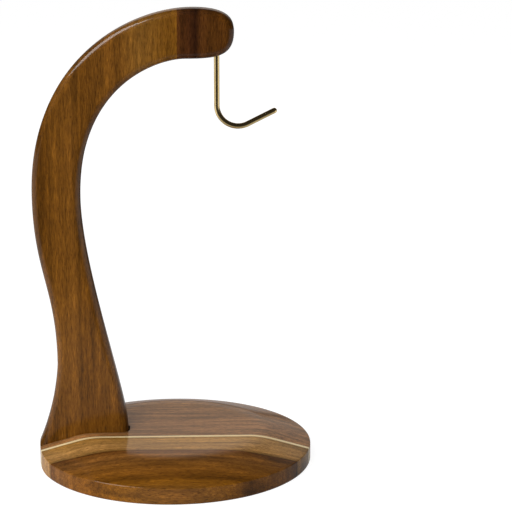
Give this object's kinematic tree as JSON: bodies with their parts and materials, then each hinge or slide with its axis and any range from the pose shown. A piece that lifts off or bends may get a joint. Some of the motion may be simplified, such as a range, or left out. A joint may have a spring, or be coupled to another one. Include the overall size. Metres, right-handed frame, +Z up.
{
  "type": "wooden banana hanger",
  "caption": "Wooden countertop banana hanger: a round turned base, a curved flat arm let into it, and a wire hook under the arm's head.",
  "frame": {"origin": "centre of the round base's underside", "axes": "+Z up, +X the way the arm's head reaches over the base, -Y the side of the light strip"},
  "size_m": [0.2012, 0.2014, 0.3338],
  "materials": {
    "rear_board_wood": "mid brown acacia board under clear gloss lacquer",
    "strip_wood": "pale maple-like strip under the same clear gloss lacquer",
    "front_board_wood": "brown acacia heartwood with a golden sapwood band under clear gloss lacquer",
    "arm_wood": "brown acacia board with upright grain under clear gloss lacquer",
    "tip_wood": "dark acacia board with upright grain under clear gloss lacquer",
    "hook_brass": "pale polished brass-plated wire",
    "screw_steel": "plain zinc-plated steel"
  },
  "bodies": {
    "root": {"base_rear_board": "rear_board_wood", "base_light_strip": "strip_wood", "base_front_board": "front_board_wood", "arm_board": "arm_wood", "arm_tip_board": "tip_wood", "hook": "hook_brass", "arm_screws": "screw_steel"}
  },
  "joints": []
}
